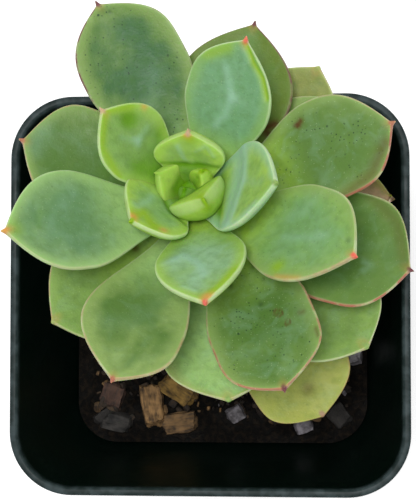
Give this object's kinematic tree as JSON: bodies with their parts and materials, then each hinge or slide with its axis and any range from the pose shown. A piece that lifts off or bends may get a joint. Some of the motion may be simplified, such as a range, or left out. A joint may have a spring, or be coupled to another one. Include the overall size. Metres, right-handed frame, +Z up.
{
  "type": "potted aeonium",
  "caption": "Small fleshy-leaved rosette succulent with thick pointed leaves, leaning on a short bare stem in bark soil inside a square tapered plastic nursery pot.",
  "frame": {"origin": "middle of the pot's underside, on the surface it stands on", "axes": "+Z up, +Y towards the side that the stem leans to, X and Y square to the pot's sides"},
  "size_m": [0.0568, 0.0677, 0.0835],
  "materials": {
    "pot": "smooth satin moulded plastic, very dark green",
    "soil": "matt, dark, with bark chips and pale grains",
    "stem": "matt, corky, with leaf scars",
    "young_leaf": "satin waxy skin, yellow-green",
    "leaf": "satin waxy skin with a pale bloom and red tips",
    "yellow_leaf": "satin, yellowing",
    "withered_leaf": "matt, dry and papery"
  },
  "bodies": {
    "root": {"pot": "pot", "soil": "soil", "stem": "stem", "growing_tip": "young_leaf", "leaf_01": "young_leaf", "leaf_02": "young_leaf", "leaf_03": "young_leaf", "leaf_04": "young_leaf", "leaf_05": "leaf", "leaf_06": "leaf", "leaf_07": "leaf", "leaf_08": "leaf", "leaf_09": "leaf", "leaf_10": "leaf", "leaf_11": "leaf", "leaf_12": "leaf", "leaf_13": "leaf", "leaf_14": "leaf", "leaf_15": "leaf", "leaf_16": "leaf", "leaf_17": "leaf", "leaf_18": "leaf", "leaf_19": "leaf", "leaf_20": "leaf", "leaf_21": "leaf", "leaf_22": "leaf", "leaf_24_withered": "withered_leaf", "leaf_26_yellow": "yellow_leaf", "leaf_27": "leaf"}
  },
  "joints": []
}
